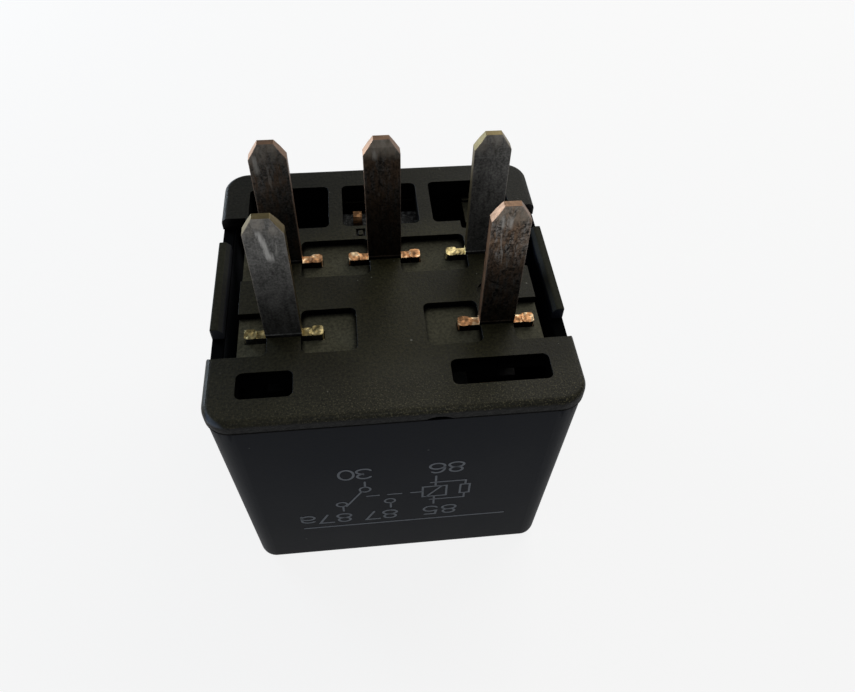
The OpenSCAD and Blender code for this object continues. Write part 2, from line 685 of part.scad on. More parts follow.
module hinge_spring() color([0.74, 0.5, 0.3]) {
    outer = spring_line(spring_t / 2);
    inner = spring_line(-spring_t / 2);
    w = spring_w / 2;
    difference() {
        intersection() {
            translate([w, 0, 0]) rotate([0, -90, 0]) linear_extrude(spring_w)
                polygon(concat(outer, [for (i = [len(inner) - 1:-1:0]) inner[i]]));
            linear_extrude(case_h)
                polygon([[-w, -body_d], [w, -body_d], [w, arm_end - spring_neck[0]],
                         [spring_tip_w / 2, arm_end + spring_neck[1]],
                         [spring_tip_w / 2, spring_tip - 0.7], [spring_tip_w / 2 - 0.7, spring_tip],
                         [0.7 - spring_tip_w / 2, spring_tip], [-spring_tip_w / 2, spring_tip - 0.7],
                         [-spring_tip_w / 2, arm_end + spring_neck[1]],
                         [-w, arm_end - spring_neck[0]]]);
        }
        // opening that softens the loop
        translate([-spring_slot[0] / 2, hinge_y - 2, hinge_z - 4]) cube(spring_slot);
        for (z = rivet_z) translate([0, hinge_y - 2, z]) rotate([-90, 0, 0])
            cylinder(d = rivet_head_d * 0.6, h = 4, $fn = 32);
        released() for (y = [rivet_y[0], rivet_y[1], contact_y]) translate([0, y, spring_bot - 1])
            cylinder(d = rivet_head_d * 0.6, h = 3, $fn = 32);
    }
}

// ---------------------------------------------------------------- small parts

// contact head: its seat at z = 0, its face at z = contact_h
module contact_head() {
    cylinder(d = contact_d, h = contact_h * 0.55, $fn = 48);
    translate([0, 0, contact_h * 0.55])
        cylinder(r1 = contact_d / 2, r2 = face_r, h = contact_h * 0.45, $fn = 48);
}

module moving_contact() color(silver) released() translate([0, contact_y, 0]) {
    translate([0, 0, arm_bot]) contact_head();
    translate([0, 0, spring_bot]) mirror([0, 0, 1]) contact_head();
    translate([0, 0, spring_bot - eps])
        cylinder(d = rivet_head_d * 0.6 - 2 * eps, h = spring_t + 2 * eps, $fn = 32);
}

module contact_no() color(silver)
    translate([0, contact_y, no_arm]) mirror([0, 0, 1]) contact_head();

module contact_nc() color(silver)
    translate([0, nc_y, nc_arm]) contact_head();

// rivet along +Z: lower head at z = 0, through t of sheet
module rivet(t) {
    translate([0, 0, -rivet_head_t]) cylinder(d1 = rivet_head_d - 0.5, d2 = rivet_head_d, h = rivet_head_t, $fn = 32);
    translate([0, 0, -eps]) cylinder(d = rivet_head_d * 0.6 - 2 * eps, h = t + eps, $fn = 32);
}

module yoke_rivet(i) color([0.7, 0.66, 0.55])
    translate([0, hinge_y - spring_t, rivet_z[i]]) rotate([-90, 0, 0]) rivet(yoke_t + spring_t);
module yoke_rivet_upper() yoke_rivet(1);
module yoke_rivet_lower() yoke_rivet(0);

module armature_rivet(i) color([0.7, 0.66, 0.55]) released()
    translate([0, rivet_y[i], spring_bot]) rivet(armature_t + spring_t);
module armature_rivet_front() armature_rivet(0);
module armature_rivet_back() armature_rivet(1);

module resistor() color(body_tan)
    translate([-resistor_l / 2, resistor_y, resistor_z]) rotate([0, 90, 0]) {
        cylinder(d = resistor_d * 0.86, h = resistor_l, $fn = 32);
        for (x = [0, resistor_l - 1.3]) translate([0, 0, x]) {
            translate([0, 0, 0.3]) cylinder(d = resistor_d, h = 0.7, $fn = 32);
            cylinder(d1 = resistor_d * 0.6, d2 = resistor_d, h = 0.3, $fn = 32);
            translate([0, 0, 1.0]) cylinder(d1 = resistor_d, d2 = resistor_d * 0.6, h = 0.3, $fn = 32);
        }
    }

module resistor_lead(s) color(silver)
    translate([s * resistor_l / 2, resistor_y, resistor_z]) rotate([0, s * 90, 0])
        cylinder(d = lead_d, h = blade_x + strip_w / 2 - 0.5 - resistor_l / 2, $fn = 24);
module resistor_lead_left() resistor_lead(-1);
module resistor_lead_right() resistor_lead(1);

// coil wire: three turns round the terminal's tail, then in to the winding
module coil_lead(s) color(copper) {
    r = norm([tail_w / 2, blade_t / 2]) + fit;
    x = s * blade_x;
    z0 = wind_top - 0.1;
    q = wire_d;
    a = 35;
    rw = winding_d / 2 + wire_d / 2;
    from = [x - s * 0.2, front_row_y + r + q / 2, z0 - 1.5 * q];
    to = [s * rw * cos(a), coil_y - rw * sin(a), z0 - 1.5 * q - 0.1];
    translate([x, front_row_y, z0]) rotate_extrude($fn = 32)
        polygon(concat([[r, -3 * q], [r, 0]],
                       [for (i = [0:2]) each [[r + 0.6 * q, -i * q], [r + q, -(i + 0.25) * q],
                                              [r + q, -(i + 0.75) * q]]],
                       [[r + 0.6 * q, -3 * q]]));
    wire([from, to], wire_d * 0.9);
}
module coil_lead_left() coil_lead(-1);
module coil_lead_right() coil_lead(1);

// ---------------------------------------------------------------- the part

cover();
base();
terminal_30();
terminal_85();
terminal_86();
terminal_87();
terminal_87a();
bobbin();
winding();
core();
yoke();
armature();
hinge_spring();
moving_contact();
contact_no();
contact_nc();
yoke_rivet_upper();
yoke_rivet_lower();
armature_rivet_front();
armature_rivet_back();
resistor();
resistor_lead_left();
resistor_lead_right();
coil_lead_left();
coil_lead_right();
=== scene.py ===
"""Changeover relay with a plug-in base: finishes, printed circuit and stage."""
import math

import bmesh
import bpy
from bpy.props import FloatProperty, FloatVectorProperty, PointerProperty
from mathutils import Matrix, Vector
from mathutils.bvhtree import BVHTree


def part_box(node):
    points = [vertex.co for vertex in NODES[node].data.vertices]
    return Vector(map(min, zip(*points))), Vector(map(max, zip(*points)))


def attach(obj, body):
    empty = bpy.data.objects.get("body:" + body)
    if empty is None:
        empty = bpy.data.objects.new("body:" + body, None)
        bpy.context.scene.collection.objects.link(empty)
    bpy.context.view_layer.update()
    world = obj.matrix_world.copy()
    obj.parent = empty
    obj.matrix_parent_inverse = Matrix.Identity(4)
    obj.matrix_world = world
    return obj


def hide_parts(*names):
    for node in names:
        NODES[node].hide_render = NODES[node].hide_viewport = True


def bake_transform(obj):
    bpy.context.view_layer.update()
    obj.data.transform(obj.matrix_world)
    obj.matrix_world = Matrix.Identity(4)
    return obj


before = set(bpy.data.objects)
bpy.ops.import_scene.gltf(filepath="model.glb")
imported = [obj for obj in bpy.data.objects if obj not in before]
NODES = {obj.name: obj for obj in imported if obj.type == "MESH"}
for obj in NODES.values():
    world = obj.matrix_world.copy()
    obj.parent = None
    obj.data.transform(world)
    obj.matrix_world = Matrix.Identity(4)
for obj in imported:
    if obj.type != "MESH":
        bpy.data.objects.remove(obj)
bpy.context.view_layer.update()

bl_info = {
    "name": "Changeover relay",
    "version": (1, 0, 0),
    "blender": (4, 5, 0),
    "location": "View3D > Sidebar > Relay",
    "description": "Finishes, printed circuit and stage of a plug-in relay",
    "category": "Object",
}

MM = 0.001
BODY = "housing"
# Heights in mm of the base's face and of the blades' tips.
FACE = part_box("base")[1][2] / MM
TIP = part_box("terminal_87a")[1][2] / MM


# ------------------------------------------------------------- shader kit

class Tone:
    """A shader socket that can stand in a Python expression."""

    def __init__(self, finish, socket):
        self.finish = finish
        self.socket = socket

    def _math(self, operation, *values):
        return self.finish.node("ShaderNodeMath", {"operation": operation},
                                dict(enumerate(values)))

    def __add__(self, other):
        return self._math("ADD", self, other)

    def __sub__(self, other):
        return self._math("SUBTRACT", self, other)

    def __mul__(self, other):
        return self._math("MULTIPLY", self, other)

    def __rsub__(self, other):
        return self._math("SUBTRACT", other, self)

    def __abs__(self):
        return self._math("ABSOLUTE", self)

    def __lt__(self, other):
        return self._math("LESS_THAN", self, other)

    __radd__ = __add__
    __rmul__ = __mul__

    def at_most(self, other):
        return self._math("MINIMUM", self, other)

    def at_least(self, other):
        return self._math("MAXIMUM", self, other)

    def ease(self, low, high, start=0.0, end=1.0):
        """Runs smoothly from start to end as the value goes low to high."""
        return self.finish.node(
            "ShaderNodeMapRange", {"interpolation_type": "SMOOTHSTEP"},
            {0: self, 1: low, 2: high, 3: start, 4: end})


class Finish:
    """One material, built from expressions. Places on it are in mm."""

    def __init__(self, name):
        self.material = bpy.data.materials.new(name)
        self.material.use_nodes = True
        self.tree = self.material.node_tree
        self.tree.nodes.clear()
        place = self.node("ShaderNodeTexCoord", out="Object")
        self.place = self.vector("SCALE", place, scale=1 / MM)
        self.x, self.y, self.z = self.split(self.place)

    def put(self, socket, value):
        """Links a tone to a socket, or sets a number or a colour on it."""
        if isinstance(value, Tone):
            self.tree.links.new(value.socket, socket)
        elif isinstance(value, (tuple, list, Vector)):
            room = len(socket.default_value)
            socket.default_value = (list(value) + [1.0])[:room]
        else:
            socket.default_value = value

    def node(self, kind, settings=None, inputs=None, out=0):
        """Adds a node: its type, its settings, then its sockets."""
        made = self.tree.nodes.new(kind)
        for key, value in (settings or {}).items():
            setattr(made, key, value)
        for key, value in (inputs or {}).items():
            self.put(made.inputs[key], value)
        return Tone(self, made.outputs[out]) if made.outputs else None

    def vector(self, operation, *values, scale=None, out=0):
        """Adds a Vector Math node, for places, directions and colours."""
        inputs = dict(enumerate(values))
        if scale is not None:
            inputs["Scale"] = scale
        return self.node("ShaderNodeVectorMath", {"operation": operation},
                         inputs, out)

    def split(self, vector):
        """The three parts of a vector or a colour."""
        first = self.node("ShaderNodeSeparateXYZ", {}, {0: vector})
        return [Tone(self, part) for part in first.socket.node.outputs]

    def mix(self, one, other, factor):
        """Colour that runs from one to other."""
        return self.node("ShaderNodeMix", {"data_type": "RGBA"},
                         {0: factor, 6: one, 7: other}, out=2)

    def tint(self, colour, factor):
        """Colour made lighter or darker by a value."""
        return self.vector("SCALE", colour, scale=factor)

    def noise(self, scale, detail=2.0, rough=0.5, stretch=(1, 1, 1), seed=0.0,
              warp=0.0):
        """Noise from 0 to 1 that is fixed to the piece."""
        where = self.vector("MULTIPLY", self.place, stretch)
        if seed:
            where = self.vector("ADD", where, (seed, 1.7 * seed, -seed))
        return self.node("ShaderNodeTexNoise", {},
                         {"Vector": where, "Scale": scale, "Detail": detail,
                          "Roughness": rough, "Distortion": warp})

    def specks(self, scale, size, share, seed=0.0):
        """Small separate dots: 1 in a dot, 0 outside."""
        where = self.vector("ADD", self.place, (seed, -seed, 0.6 * seed))
        cell = {"Vector": where, "Scale": scale}
        far = self.node("ShaderNodeTexVoronoi", {}, cell, out="Distance")
        pick = self.node("ShaderNodeTexVoronoi", {}, cell, out="Color")
        chance, grow, _ = self.split(pick)
        return (far < size * (0.35 + grow)) * (chance < share)

    def normal(self):
        """Parts of the surface's own direction."""
        return self.split(self.node("ShaderNodeNewGeometry", out="Normal"))

    def worn_edge(self, radius, gain=6.0):
        """Near 1 along sharp edges and 0 on flats."""
        soft = self.node("ShaderNodeBevel", {"samples": 6},
                         {"Radius": radius * MM})
        hard = self.node("ShaderNodeNewGeometry", out="Normal")
        apart = self.vector("DOT_PRODUCT", soft, hard, out="Value")
        return ((1.0 - apart) * gain).at_most(1.0)

    def bump(self, height, depth, strength=1.0, under=None):
        """Normal of a relief whose height runs 0 to 1 over depth in mm."""
        inputs = {"Strength": strength, "Distance": depth * MM,
                  "Height": height}
        if under is not None:
            inputs["Normal"] = under
        return self.node("ShaderNodeBump", {}, inputs)

    def surface(self, shader):
        """Ends the material on a shader."""
        self.node("ShaderNodeOutputMaterial", {}, {0: shader})
        return self.material

    def done(self, **values):
        """Ends the material on the Principled shader with these values."""
        inputs = {key.replace("_", " "): value
                  for key, value in values.items()}
        return self.surface(self.node("ShaderNodeBsdfPrincipled", {}, inputs))


def dress(nodes, material):
    """Puts a finish on CAD nodes."""
    for name in nodes:
        mesh = NODES[name].data
        mesh.materials.clear()
        mesh.materials.append(material)


def add_piece(context, name, bm, material):
    """Makes an object of a mesh under construction."""
    mesh = bpy.data.meshes.new(name)
    bm.to_mesh(mesh)
    bm.free()
    mesh.materials.append(material)
    piece = bpy.data.objects.new(name, mesh)
    context.collection.objects.link(piece)
    return piece


def soften(name, width, segments=2, angle=35.0):
    """Rounds the sharp edges of a CAD node by a modifier."""
    obj = NODES[name]
    weld = obj.modifiers.new("weld", "WELD")
    weld.merge_threshold = 1e-6
    flat = obj.modifiers.new("flat", "DECIMATE")
    flat.decimate_type = "DISSOLVE"
    flat.angle_limit = math.radians(0.6)
    edge = obj.modifiers.new("edge", "BEVEL")
    edge.width = width * MM
    edge.segments = segments
    edge.limit_method = "ANGLE"
    edge.angle_limit = math.radians(angle)
    smooth = obj.modifiers.new("smooth", "WEIGHTED_NORMAL")
    smooth.keep_sharp = True


# --------------------------------------------------------------- settings

class RelayCoverSettings(bpy.types.PropertyGroup):
    """Finish of the moulded cover."""
    colour: FloatVectorProperty(
        name="Colour", description="Colour of the cover's plastic",
        subtype="COLOR", size=3, min=0, max=1, default=(0.0066, 0.0078, 0.0115))
    roughness: FloatProperty(
        name="Roughness", description="Roughness of the cover's faces",
        subtype="FACTOR", min=0, max=1, default=0.42)


class RelayBaseSettings(bpy.types.PropertyGroup):
    """Finish of the moulded base."""
    colour: FloatVectorProperty(
        name="Colour", description="Colour of the base's plastic",
        subtype="COLOR", size=3, min=0, max=1, default=(0.009, 0.0092, 0.009))
    film: FloatVectorProperty(
        name="Film", description="Colour of the dusty film on its top",
        subtype="COLOR", size=3, min=0, max=1, default=(0.042, 0.037, 0.0125))
    pocket: FloatVectorProperty(
        name="Pocket floors", description="Colour of the pockets' floors",
        subtype="COLOR", size=3, min=0, max=1, default=(0.064, 0.061, 0.04))
    roughness: FloatProperty(
        name="Roughness", description="Roughness of the base's face",
        subtype="FACTOR", min=0, max=1, default=0.42)


class RelayBladeSettings(bpy.types.PropertyGroup):
    """Finish of the tinned blades."""
    tin: FloatVectorProperty(
        name="Tin", description="Colour of the tarnished tin",
        subtype="COLOR", size=3, min=0, max=1, default=(0.16, 0.157, 0.15))
    brown: FloatVectorProperty(
        name="Brown", description="Colour where the plating has worn thin",
        subtype="COLOR", size=3, min=0, max=1, default=(0.11, 0.074, 0.05))
    copper: FloatVectorProperty(
        name="Copper", description="Colour of cut edges",
        subtype="COLOR", size=3, min=0, max=1, default=(0.9, 0.47, 0.22))
    brass: FloatVectorProperty(
        name="Brass", description="Colour of cut edges under worn tin",
        subtype="COLOR", size=3, min=0, max=1, default=(0.62, 0.49, 0.22))


class RelayPrintSettings(bpy.types.PropertyGroup):
    """The printed circuit on the front of the cover."""
    colour: FloatVectorProperty(
        name="Colour", description="Colour of the ink",
        subtype="COLOR", size=3, min=0, max=1, default=(0.19, 0.2, 0.22))
    line: FloatProperty(
        name="Line", description="Width of the circuit's lines",
        unit="LENGTH", min=0.0001, max=0.0005, precision=5, default=0.00018)
    stroke: FloatProperty(
        name="Stroke", description="Width of the figures' strokes",
        unit="LENGTH", min=0.0001, max=0.0005, precision=5, default=0.00021)
    thickness: FloatProperty(
        name="Thickness", description="Thickness of the ink",
        unit="LENGTH", min=0.000002, max=0.0001, precision=6,
        default=0.000012)


class RelayStageSettings(bpy.types.PropertyGroup):
    """Camera, lamps and floor."""
    lens: FloatProperty(
        name="Lens", description="Focal length", subtype="DISTANCE_CAMERA",
        min=10, max=200, default=30.11)
    lamp: FloatProperty(
        name="Lamps", description="Strength of all lamps", min=0, max=10,
        default=1.0)
    sky: FloatProperty(
        name="Sky", description="Strength of the light from all around",
        min=0, max=10, default=0.22)


# ------------------------------------------------------------------- base

BASE_GLINT_GOLD = (0.2, 0.175, 0.1)
BASE_SHEEN = (0.11, 0.135, 0.18)
BASE_DUST = (0.24, 0.23, 0.19)


def base_finish(s):
    """Fine-grained plastic, with a film on top and clean walls below, and
    painted shade on the walls, in deep recesses and in nooks.
    """
    f = Finish("base_plastic")
    nx, ny, nz = f.normal()
    cloud = f.noise(0.14, 3, 0.6).ease(0.35, 0.7)
    mottle = f.noise(1.3, 3, 0.6, seed=4)
    grain = f.noise(4.2, 3, 0.7).ease(0.3, 0.7)

    # where the surface lies: upward, on walls given painted shade, at the rim,
    # in recesses below given painted shade, in pockets
    up = nz.ease(0.2, 0.7)
    inside = f.y.ease(-13.6, -13.1)
    shaded_walls = (ny.ease(-0.25, -0.6) + nx.ease(0.3, 0.7)).at_most(1.0) * inside
    rim = abs(f.x).at_least(abs(f.y)).ease(13.5, 13.8)
    lip = f.z.ease(FACE - 0.98, FACE - 1.06) * rim
    shaded_recess = f.z.ease(FACE - 0.8, FACE - 1.4) * f.y.ease(0, -1) * (1.0 - rim)
    low = f.z.ease(FACE - 0.35, FACE - 0.6)

    # painted shade: faces that don't look up are darker, and walls inside the
    # footprint that look to the front or the right are darker still
    colour = f.tint(tuple(s.colour), (0.5 + mottle * 0.4 + grain * 0.5)
                    * (0.3 + up * 0.7) * (1.0 - shaded_walls * 0.85))
    film = (up * (f.x.ease(-13, 4, 0.25, 0.42) + cloud * 0.2)
            * f.y.ease(4, 8, 1.0, 0.4) * f.x.ease(5, 13, 1.0, 0.6))
    colour = f.mix(colour, f.tint(tuple(s.film), 0.45 + grain * 0.9), film)
    colour = f.mix(colour, f.tint(tuple(s.pocket), (0.6 + grain * 0.6)
                                  * f.y.ease(0, 4, 1.3, 0.9)), up * low)
    # painted shade in nooks and creases, from ambient occlusion
    occlusion_shade = f.node("ShaderNodeAmbientOcclusion",
                  {"samples": 8, "only_local": True},
                  {"Distance": 0.5 * MM}, out="AO")
    colour = f.tint(colour, occlusion_shade.ease(0.5, 0.95, 0.05, 1.0))

    # painted golden glints along the front, painted sheen on the edges that
    # face left, dust
    front = f.y.ease(-9, -13.9)
    # painted highlight: golden glints on up-facing faces, strongest at the
    # front
    glint = (f.noise(7.5, 3, 0.8, seed=9).ease(0.5, 0.74)
             * nz.ease(0.1, 0.5) * (0.2 + front * 0.8)
             * (0.35 + f.x.ease(-12, 2) * 0.65))
    colour = f.mix(colour, BASE_GLINT_GOLD, glint * 0.9)
    # painted sheen: edges that face left are lighter and bluish
    edge = (nx.ease(-0.15, -0.45) * nz.ease(0.1, 0.4)
            * f.x.ease(-13.9, -13.5) * f.z.ease(FACE - 0.7, FACE - 0.4))
    colour = f.mix(colour, BASE_SHEEN, edge * 0.8)
    dust = f.specks(0.7, 0.06, 0.3) + f.specks(1.9, 0.07, 0.14, seed=3)
    colour = f.mix(colour, BASE_DUST, dust.at_most(1.0) * 0.6)
    # dark seam under the flange's lip, and painted shade in the deep recesses
    # of the front half
    colour = f.tint(colour, (1.0 - lip * 0.93) * (1.0 - shaded_recess * 0.85))

    rough = (s.roughness + (grain - 0.5) * 0.15 + low * 0.15
             + (lip + shaded_recess) * 0.4 - edge * 0.1)
    gloss = (up * (1.0 - low) * (0.8 + cloud * 0.4)
             * f.y.ease(-11.5, -8, 1.0, 0.48) * f.y.ease(3, 8, 1, 0.35)
             * f.x.ease(-13, 0, 0.7, 1.0) * f.x.ease(3, 12, 1.0, 0.35))
    relief = f.bump(f.noise(4.6, 3, 0.7, seed=1), 0.04, 1.0)
    return f.done(Base_Color=colour, Roughness=rough, Normal=relief,
                  Specular_IOR_Level=0.1, Coat_Weight=gloss * 0.26,
                  Coat_Roughness=0.4)


class RELAY_OT_base(bpy.types.Operator):
    """Gives the base its fine-grained matt plastic"""
    bl_idname = "relay.base"
    bl_label = "Base"

    def execute(self, context):
        dress(["base"], base_finish(context.scene.relay_base))
        soften("base", 0.15, 3)
        return {"FINISHED"}


# ------------------------------------------------------------------ cover

COVER_LEFT_HIGHLIGHT = (0.036, 0.037, 0.041)
COVER_EDGE = (0.03, 0.033, 0.04)
COVER_RIM = (0.026, 0.0255, 0.017)
COVER_DUST = (0.1, 0.1, 0.1)
COVER_SEAM = (0.0006, 0.0006, 0.0007)
COVER_SHINE = (0.82, 0.92, 1.0)


def cover_finish(s):
    """Smoother plastic, with a painted highlight at its left corner, painted
    shade towards the bottom, and dark in the seam.
    """
    f = Finish("cover_plastic")
    cloud = f.noise(0.12, 2, 0.5, seed=2)
    grain = f.noise(4.0, 2, 0.6, seed=5)
    # painted shade: the cover is darker towards the bottom
    colour = f.tint(tuple(s.colour), (0.75 + cloud * 0.3 + grain * 0.2)
                    * f.z.ease(2, 16, 0.7, 1.0))
    # painted highlight down the left corner
    colour = f.mix(colour, COVER_LEFT_HIGHLIGHT, f.x.ease(-11.5, -13.8) * 0.7)
    edge = f.worn_edge(0.2)
    colour = f.mix(colour, COVER_EDGE, edge * 0.45)
    rim = f.normal()[2].ease(0.5, 0.9) * f.z.ease(FACE - 0.8, FACE - 0.5)
    colour = f.mix(colour, f.tint(COVER_RIM, 0.4 + grain * 1.2), rim)
    dust = f.specks(0.45, 0.045, 0.3, seed=7)
    colour = f.mix(colour, COVER_DUST, dust * 0.4)
    seam = (f.z.ease(FACE - 1.34, FACE - 1.24)
            * f.z.ease(FACE - 1.0, FACE - 1.1))
    colour = f.mix(colour, COVER_SEAM, seam)
    rough = (s.roughness + cloud * 0.08 + grain * 0.06 + seam * 0.4
             - edge * 0.15)
    relief = f.bump(f.noise(3.2, 2, 0.6, seed=6), 0.02, 0.3)
    return f.done(Base_Color=colour, Roughness=rough, Normal=relief,
                  Specular_IOR_Level=0.035, Specular_Tint=COVER_SHINE)


class RELAY_OT_cover(bpy.types.Operator):
    """Gives the cover its smoother moulded plastic"""
    bl_idname = "relay.cover"
    bl_label = "Cover"

    def execute(self, context):
        dress(["cover"], cover_finish(context.scene.relay_cover))
        soften("cover", 0.1)
        return {"FINISHED"}


# ----------------------------------------------------------------- blades

PALE = (0.36, 0.35, 0.33)
BRIGHT = (0.5, 0.49, 0.47)
DARK = (0.006, 0.005, 0.005)
SCUFFED_TIN = (0.3, 0.27, 0.23)
EDGE_WEAR_AND_HIGHLIGHT = (0.42, 0.37, 0.33)
DULLED_CUT = (0.62, 0.52, 0.47)
EAR_HIGHLIGHT = {"copper": (1.0, 0.8, 0.52), "brass": (0.8, 0.66, 0.34)}
# grey: share of tin left. shade: brightness of the whole blade, and the key
# after it:
# the part of it left at the base, a painted shade on the blade's lower part.
# mottle: strength of the patches.
# metal: how bare of oxide the faces are. cut: alloy on the cut edges.
# scars: scratches along the front, each with its lower and upper end
# (x, z) in mm, half width in mm and colour.
BLADES = {
    "terminal_86": dict(
        grey=0.9, shade=0.85, foot_shade=0.9, mottle=0.25, metal=0.72, cut="brass",
        seed=11.0,
        scars=[((-8.1, 32.8), (-8.75, 36.1), 0.24, BRIGHT),
               ((-8.05, 31.4), (-8.27, 32.6), 0.16, DARK),
               ((-7.73, 33.3), (-7.65, 35.2), 0.07, PALE)]),
    "terminal_87": dict(
        grey=0.85, shade=1.1, foot_shade=0.8, mottle=0.25, metal=0.7, cut="brass",
        seed=23.0, scars=[]),
    "terminal_30": dict(
        grey=0.5, shade=0.85, foot_shade=0.45, mottle=0.6, metal=0.94,
        cut="copper", seed=37.0,
        scars=[((-9.25, 34.0), (-9.3, 36.2), 0.2, PALE),
               ((-8.3, 32.6), (-8.55, 35.4), 0.06, PALE)]),
    "terminal_87a": dict(
        grey=0.4, shade=0.5, foot_shade=0.5, mottle=0.6, metal=0.96,
        cut="copper", seed=41.0,
        scars=[((-0.25, 31.9), (-0.1, 36.3), 0.09, DARK),
               ((-0.25, 31.6), (-0.25, 32.2), 0.12, PALE),
               ((-0.5, 34.9), (-0.62, 36.2), 0.12, PALE)]),
    "terminal_85": dict(
        grey=0.4, shade=1.3, foot_shade=0.25, mottle=0.9, metal=0.94,
        cut="copper", seed=53.0,
        scars=[((8.05, 31.4), (7.72, 35.0), 0.08, PALE),
               ((7.78, 34.6), (7.62, 36.3), 0.16, PALE),
               ((8.27, 34.7), (8.32, 36.2), 0.2, PALE)]),
}


def tarnish(f, s, grey, shade, foot_shade, mottle, streak, blotch, fine, swirl,
            seed):
    """Colour of the tin, and how far it has worn to brown."""
    pits = f.noise(5.5, 2, 0.6, seed=seed + 2)
    worn = (blotch * 0.7 + fine * 0.5 + streak - 0.6
            + (0.5 - grey)).ease(0.3, 0.72)
    colour = f.mix(tuple(s.tin), tuple(s.brown), worn)
    # painted shade: each blade runs darker towards the base, as its table entry
    # gives
    rise = f.z.ease(FACE + 5.2, FACE + 9.2, foot_shade, 1.0)
    colour = f.tint(colour, rise * shade * (
        0.75 + (streak.ease(0.3, 0.7) - 0.5) * 0.35
        + (blotch.ease(0.35, 0.7) - 0.5) * 0.3
        + (pits.ease(0.4, 0.66) - 0.4) * 0.4
        + (swirl.ease(0.38, 0.62) - 0.45) * mottle))
    scuff = f.z.ease(TIP - 1.9, TIP - 0.7)
    colour = f.mix(colour, SCUFFED_TIN, scuff * blotch.ease(0.3, 0.6) * 0.5)
    return colour, worn


def scratch(f, scar, front, streak, fine):
    """Where one feathered scratch lies on the front."""
    (x0, z0), (x1, z1), half, _ = scar
    off = f.x - x0 - (f.z - z0) * ((x1 - x0) / (z1 - z0))
    line = ((half - abs(off + (streak - 0.5) * 0.7)).ease(-0.06, 0.16)
            * f.z.ease(z0, z0 + 0.7) * f.z.ease(z1, z1 - 0.7) * front)
    return line * (fine * 0.9 + streak * 0.6 - 0.05).at_most(1.0)


def blade_finish(name, s, grey, shade, foot_shade, mottle, metal, cut, seed,
                 scars):
    """Tarnished tin over a copper alloy that shows on the stamped edges."""
    f = Finish(name)
    nx, ny, _ = f.normal()
    streak = f.noise(2.2, 4, 0.65, (1.4, 1.4, 0.22), seed)
    blotch = f.noise(0.9, 4, 0.65, (1, 1, 0.5), seed + 3, 0.5)
    fine = f.noise(7.0, 3, 0.65, (1.6, 1.6, 0.25), seed + 5)
    swirl = f.noise(2.4, 4, 0.7, (1, 1, 0.8), seed + 7, 1.5)
    colour, worn = tarnish(f, s, grey, shade, foot_shade, mottle, streak, blotch,
                           fine, swirl, seed)
    front = ny.ease(-0.5, -0.9)
    for scar in scars:
        colour = f.mix(colour, scar[3], scratch(f, scar, front, streak, fine))
    # rubbed edges, partly a painted highlight along the rounded edges
    colour = f.mix(colour, EDGE_WEAR_AND_HIGHLIGHT, f.worn_edge(0.14, 4.0) * 0.6)

    # cut edges: bare alloy, brightest at the ears and dull inside the relay
    copper = cut == "copper"
    inner = f.y.ease(4, 6)
    bare = (1.0 - abs(ny).ease(0.5, 0.85)).at_least(inner)
    ear = f.z.ease(FACE + 0.35, FACE + 0.15)
    # painted shade under the ears, below the base's face
    shade_under_ears = f.z.ease(FACE - 0.56, FACE - 0.62)
    tip = f.z.ease(TIP - 1.7, TIP - 1.0)
    # painted light: on copper blades the faces that look left are lighter
    left = nx.ease(-0.4, -0.9) * (0.3 if copper else 0.0)
    bright = ((0.24 + left + tip * 0.06 + ear * 0.5) * (0.45 + blotch * 1.0)
              * (1.0 - inner * 0.68) * (1.0 - shade_under_ears * (1.0 - inner) * 0.9))
    dull = f.mix(tuple(getattr(s, cut)), DULLED_CUT,
                 (1.0 - ear) * (0.4 if copper else 0.08))
    colour = f.mix(colour, f.tint(dull, bright), bare)

    # swaged heads of the ears: dark patches and painted highlight patches;
    # painted shade on the faces that look front or back at their height
    patch = f.noise(1.5, 1, 0.5, seed=seed + 9)
    head = ear * bare * (1.0 - inner) * f.z.ease(FACE - 1.6, FACE - 1.1)
    colour = f.tint(colour, 1.0 - patch.ease(0.48, 0.36) * head * 0.55)
    # painted highlight patches on the ear heads
    colour = f.mix(colour, EAR_HIGHLIGHT[cut], patch.ease(0.52, 0.62) * head * 0.7)
    # painted shade on the faces that look front or back at the ears' height
    colour = f.tint(colour, 1.0 - ear * (1.0 - bare) * 0.75)

    lumps = f.noise(1.5, 1, 0.5, seed=seed + 8) * (0.06 + ear)
    scuffs = f.bump(streak * 0.4 + fine * 0.3 + swirl * mottle * 0.5,
                    0.015, 0.6)
    return f.done(Base_Color=colour, Metallic=(bare + metal).at_most(1.0),
                  Roughness=0.3 + streak * 0.25 + worn * 0.1,
                  Normal=f.bump(lumps, 0.35, 0.8, scuffs))


class RELAY_OT_blades(bpy.types.Operator):
    """Gives each terminal its own tarnish"""
    bl_idname = "relay.blades"
    bl_label = "Blades"

    def execute(self, context):
        s = context.scene.relay_blades
        for name, look in BLADES.items():
            dress([name], blade_finish(name + "_tin", s, **look))
            soften(name, 0.14, 3)
        return {"FINISHED"}


# ------------------------------------------------------------------ print

def arc(cx, cz, rx, rz, start, end, steps=14):
    """Points on an ellipse between two angles in degrees."""
    turn = [math.radians(start + (end - start) * i / steps)
            for i in range(steps + 1)]
    return [(cx + rx * math.cos(t), cz + rz * math.sin(t)) for t in turn]


